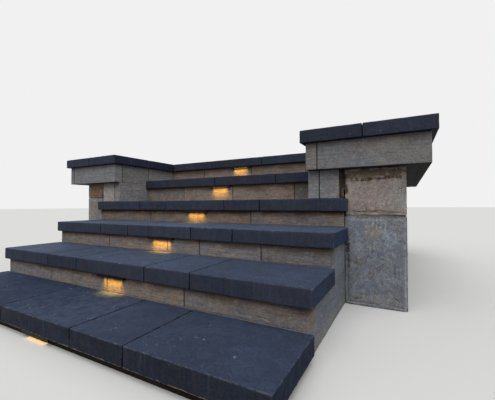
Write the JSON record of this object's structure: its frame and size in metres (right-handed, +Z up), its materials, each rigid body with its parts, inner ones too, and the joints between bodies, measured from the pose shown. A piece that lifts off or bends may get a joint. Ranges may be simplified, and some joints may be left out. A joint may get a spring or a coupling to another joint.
{
  "type": "porch steps",
  "caption": "Front porch steps of dark coping slabs on low block risers, between two pedestals with capped bands and rock-faced stone piers, with slim lights under the nosings.",
  "frame": {"origin": "on the ground at the middle of the plan's bounding rectangle", "axes": "+X along the treads, to the right as one climbs; +Y towards the house; +Z up"},
  "size_m": [3.024, 3.29, 1],
  "materials": {
    "coping": "matte",
    "riser_block": "matte",
    "wall_block": "matte",
    "band_panel": "matte",
    "pier_stone": "rough",
    "concrete": "rough",
    "light_bar": "satin",
    "light_lens": "satin"
  },
  "bodies": {
    "root": {"tread_1": "coping", "tread_2": "coping", "tread_3": "coping", "tread_4": "coping", "tread_5": "coping", "landing_edge": "coping", "left_cap": "coping", "right_cap": "coping", "left_side_coping": "coping", "right_side_coping": "coping", "landing_paving": "coping", "riser_2": "riser_block", "riser_3": "riser_block", "riser_4": "riser_block", "riser_5": "riser_block", "riser_6": "riser_block", "left_side_wall": "wall_block", "right_side_wall": "wall_block", "left_band": "band_panel", "right_band": "band_panel", "left_cheek": "band_panel", "right_cheek": "band_panel", "left_pier": "pier_stone", "right_pier": "pier_stone", "left_porch_wall": "pier_stone", "right_porch_wall": "pier_stone", "step_bed": "concrete", "flight_core": "concrete", "porch_core": "concrete", "porch_slab": "concrete", "light_bars": "light_bar", "light_lenses": "light_lens"}
  },
  "joints": []
}
